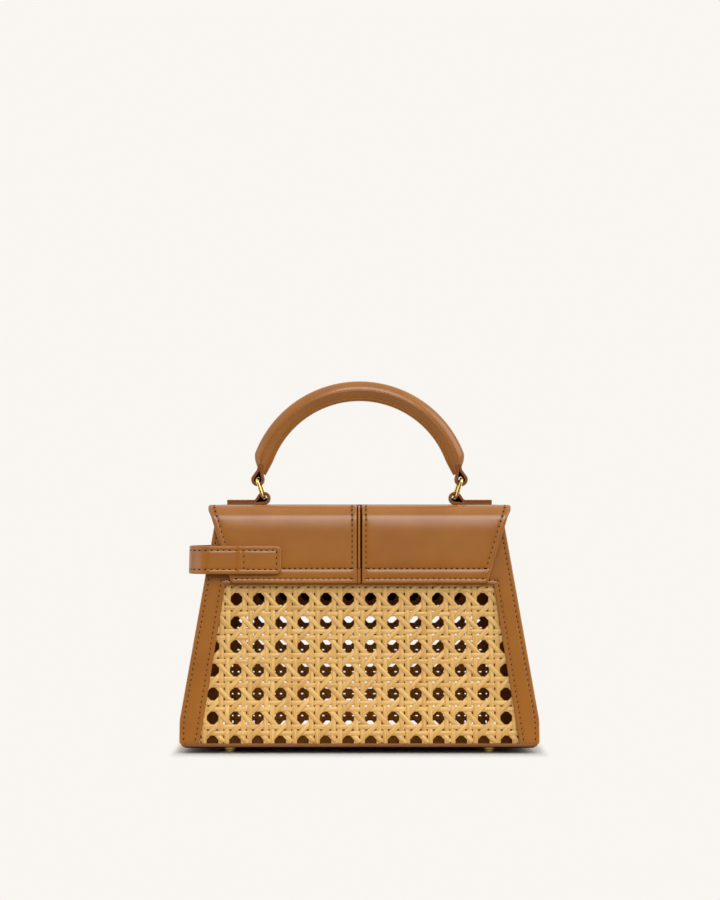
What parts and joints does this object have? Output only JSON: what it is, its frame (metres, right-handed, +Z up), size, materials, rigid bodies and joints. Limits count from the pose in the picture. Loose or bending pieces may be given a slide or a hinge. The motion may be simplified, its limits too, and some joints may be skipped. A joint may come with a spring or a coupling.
{
  "type": "basket box bag",
  "caption": "Small box-shaped handbag with leather frames round woven cane panels, a fold-over flap, a side strap and an arched handle on wire rings",
  "frame": {"origin": "middle of the bag at the level of its feet", "axes": "+X to the right seen from the front, +Y to the back, +Z up; the flap hangs on the -Y side"},
  "size_m": [0.202, 0.086, 0.2116],
  "materials": {
    "leather": "smooth, satin",
    "leather_trim": "smooth, satin",
    "cane": "bare cane, satin",
    "brass": "polished",
    "magnet_steel": "plain"
  },
  "bodies": {
    "body": {"base_tray": "leather_trim", "foot_front_left": "brass", "foot_front_right": "brass", "foot_back_left": "brass", "foot_back_right": "brass", "front_frame": "leather", "front_cane": "cane", "front_facing": "leather_trim", "back_frame": "leather", "back_cane": "cane", "back_facing": "leather_trim", "gusset_left": "leather", "gusset_right": "leather", "back_yoke": "leather", "front_magnet": "magnet_steel"},
    "flap": {"flap_lining": "leather_trim", "flap_panel_left": "leather", "flap_panel_right": "leather", "flap_piping": "leather_trim", "flap_magnet": "magnet_steel", "side_strap": "leather", "tab_left": "leather_trim", "tab_right": "leather_trim"},
    "ring_left": {"ring_left": "brass"},
    "handle": {"handle": "leather"},
    "ring_right": {"ring_right": "brass"}
  },
  "joints": [
    {"name": "flap_hinge", "type": "hinge", "parent": "body", "child": "flap", "pos_m": [0, 0.01851, 0.1394], "axis": [-1, 0, 0], "range_deg": [0, 120]},
    {"name": "ring_left_swing", "type": "hinge", "parent": "flap", "child": "ring_left", "pos_m": [-0.0557, 0, 0.1438], "axis": [0, 1, 0], "range_deg": [-20, 20]},
    {"name": "handle_swing", "type": "hinge", "parent": "ring_left", "child": "handle", "pos_m": [-0.0592, 0, 0.1544], "axis": [0, 1, 0], "range_deg": [-20, 20]},
    {"name": "ring_right_swing", "type": "hinge", "parent": "flap", "child": "ring_right", "pos_m": [0.0557, 0, 0.1438], "axis": [0, 1, 0], "range_deg": [-21, 21]}
  ],
  "couplings": [
    {"joint": "handle_swing", "follows": "ring_left_swing", "ratio": -0.941},
    {"joint": "ring_right_swing", "follows": "ring_left_swing", "ratio": 1}
  ]
}
